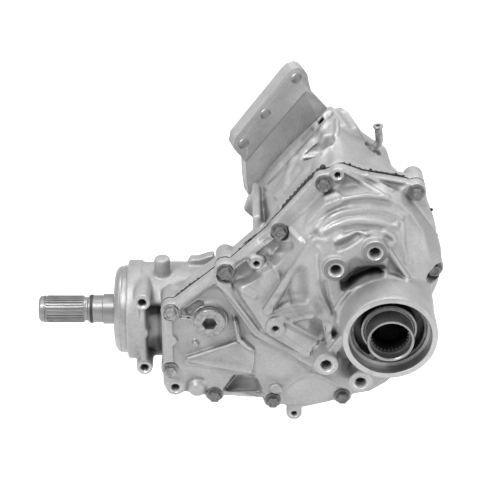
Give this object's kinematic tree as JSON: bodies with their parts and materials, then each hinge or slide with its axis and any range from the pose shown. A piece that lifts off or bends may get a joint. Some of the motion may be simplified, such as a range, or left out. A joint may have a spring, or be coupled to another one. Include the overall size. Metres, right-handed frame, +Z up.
{
  "type": "transfer case",
  "caption": "Cast transfer case with a splined input shaft at its side, bevel gears inside and a hollow output sleeve in a tube at the front, hung from a plate bracket.",
  "frame": {"origin": "middle of the face that meets the gearbox, on the line of the input shaft", "axes": "+X from the gearbox face into the case along the input shaft, +Y away from the output tube, +Z up"},
  "size_m": [0.4051, 0.2475, 0.3418],
  "materials": {
    "cast_aluminium": "as cast, light grey, fine grain",
    "bracket_aluminium": "as cast face, brighter edges",
    "machined_aluminium": "turned",
    "bolt_steel": "zinc plated, dull",
    "plug_steel": "mottled plating",
    "vent_steel": "plated",
    "shaft_steel": "machined and oiled",
    "gear_steel": "ground teeth",
    "bearing_steel": "ground and polished",
    "cage_steel": "pressed",
    "seal_rubber": "moulded black",
    "gasket_black": "cured sealant",
    "magnet_black": "sintered"
  },
  "bodies": {
    "case": {"rear_case": "cast_aluminium", "front_cover": "cast_aluminium", "cover_gasket": "gasket_black", "cover_bolts": "bolt_steel", "cover_dowels": "bolt_steel", "pilot_cap": "machined_aluminium", "input_oil_seal": "seal_rubber", "support_bracket": "bracket_aluminium", "bracket_bolts": "bolt_steel", "fill_plug": "plug_steel", "fill_plug_washer": "machined_aluminium", "drain_plug": "plug_steel", "drain_plug_washer": "machined_aluminium", "drain_magnet": "magnet_black", "vent_tube": "vent_steel", "vent_collar": "vent_steel", "output_oil_seal": "seal_rubber", "output_snap_ring": "bolt_steel", "input_bearing_front_outer": "bearing_steel", "input_bearing_rear_outer": "bearing_steel", "counter_bearing_left_cup": "bearing_steel", "counter_bearing_right_cup": "bearing_steel", "pinion_bearing_head_cup": "bearing_steel", "pinion_bearing_tail_cup": "bearing_steel"},
    "input": {"input_shaft": "shaft_steel", "input_gear": "gear_steel", "input_o_ring": "seal_rubber", "input_clip": "bolt_steel", "input_bearing_front_inner": "bearing_steel", "input_bearing_rear_inner": "bearing_steel"},
    "counter": {"countershaft": "shaft_steel", "driven_gear": "gear_steel", "ring_gear": "gear_steel", "ring_gear_bolts": "bolt_steel", "counter_bearing_left_cone": "bearing_steel", "counter_bearing_right_cone": "bearing_steel"},
    "output": {"pinion_shaft": "gear_steel", "pinion_bearing_head_cone": "bearing_steel", "pinion_bearing_tail_cone": "bearing_steel", "pinion_spacer": "shaft_steel", "output_sleeve": "shaft_steel", "pinion_nut": "bolt_steel", "output_dust_ring": "bearing_steel"},
    "input_front_cage": {"input_bearing_front_balls": "cage_steel"},
    "input_rear_cage": {"input_bearing_rear_balls": "cage_steel"},
    "counter_left_cage": {"counter_bearing_left_rollers": "cage_steel"},
    "counter_right_cage": {"counter_bearing_right_rollers": "cage_steel"},
    "pinion_head_cage": {"pinion_bearing_head_rollers": "cage_steel"},
    "pinion_tail_cage": {"pinion_bearing_tail_rollers": "cage_steel"}
  },
  "joints": [
    {"name": "countershaft_spin", "type": "hinge", "parent": "case", "child": "counter", "pos_m": [0, 0.02154, 0.056], "axis": [1, 0, 0], "continuous": true},
    {"name": "input_shaft_spin", "type": "hinge", "parent": "case", "child": "input", "pos_m": [0, 0, 0], "axis": [1, 0, 0], "continuous": true},
    {"name": "output_spin", "type": "hinge", "parent": "case", "child": "output", "pos_m": [0.256, 0, 0.056], "axis": [0, -1, 0], "continuous": true},
    {"name": "input_front_cage_spin", "type": "hinge", "parent": "case", "child": "input_front_cage", "pos_m": [0, 0, 0], "axis": [1, 0, 0], "continuous": true},
    {"name": "input_rear_cage_spin", "type": "hinge", "parent": "case", "child": "input_rear_cage", "pos_m": [0, 0, 0], "axis": [1, 0, 0], "continuous": true},
    {"name": "counter_left_cage_spin", "type": "hinge", "parent": "case", "child": "counter_left_cage", "pos_m": [0, 0.02154, 0.056], "axis": [1, 0, 0], "continuous": true},
    {"name": "counter_right_cage_spin", "type": "hinge", "parent": "case", "child": "counter_right_cage", "pos_m": [0, 0.02154, 0.056], "axis": [1, 0, 0], "continuous": true},
    {"name": "pinion_head_cage_spin", "type": "hinge", "parent": "case", "child": "pinion_head_cage", "pos_m": [0.256, 0, 0.056], "axis": [0, -1, 0], "continuous": true},
    {"name": "pinion_tail_cage_spin", "type": "hinge", "parent": "case", "child": "pinion_tail_cage", "pos_m": [0.256, 0, 0.056], "axis": [0, -1, 0], "continuous": true}
  ],
  "couplings": [
    {"joint": "input_shaft_spin", "follows": "countershaft_spin", "ratio": -0.84615},
    {"joint": "output_spin", "follows": "countershaft_spin", "ratio": 2.6},
    {"joint": "input_front_cage_spin", "follows": "countershaft_spin", "ratio": -0.3353},
    {"joint": "input_rear_cage_spin", "follows": "countershaft_spin", "ratio": -0.33478},
    {"joint": "counter_left_cage_spin", "follows": "countershaft_spin", "ratio": 0.40165},
    {"joint": "counter_right_cage_spin", "follows": "countershaft_spin", "ratio": 0.40165},
    {"joint": "pinion_head_cage_spin", "follows": "countershaft_spin", "ratio": 1.0443},
    {"joint": "pinion_tail_cage_spin", "follows": "countershaft_spin", "ratio": 1.0443}
  ]
}
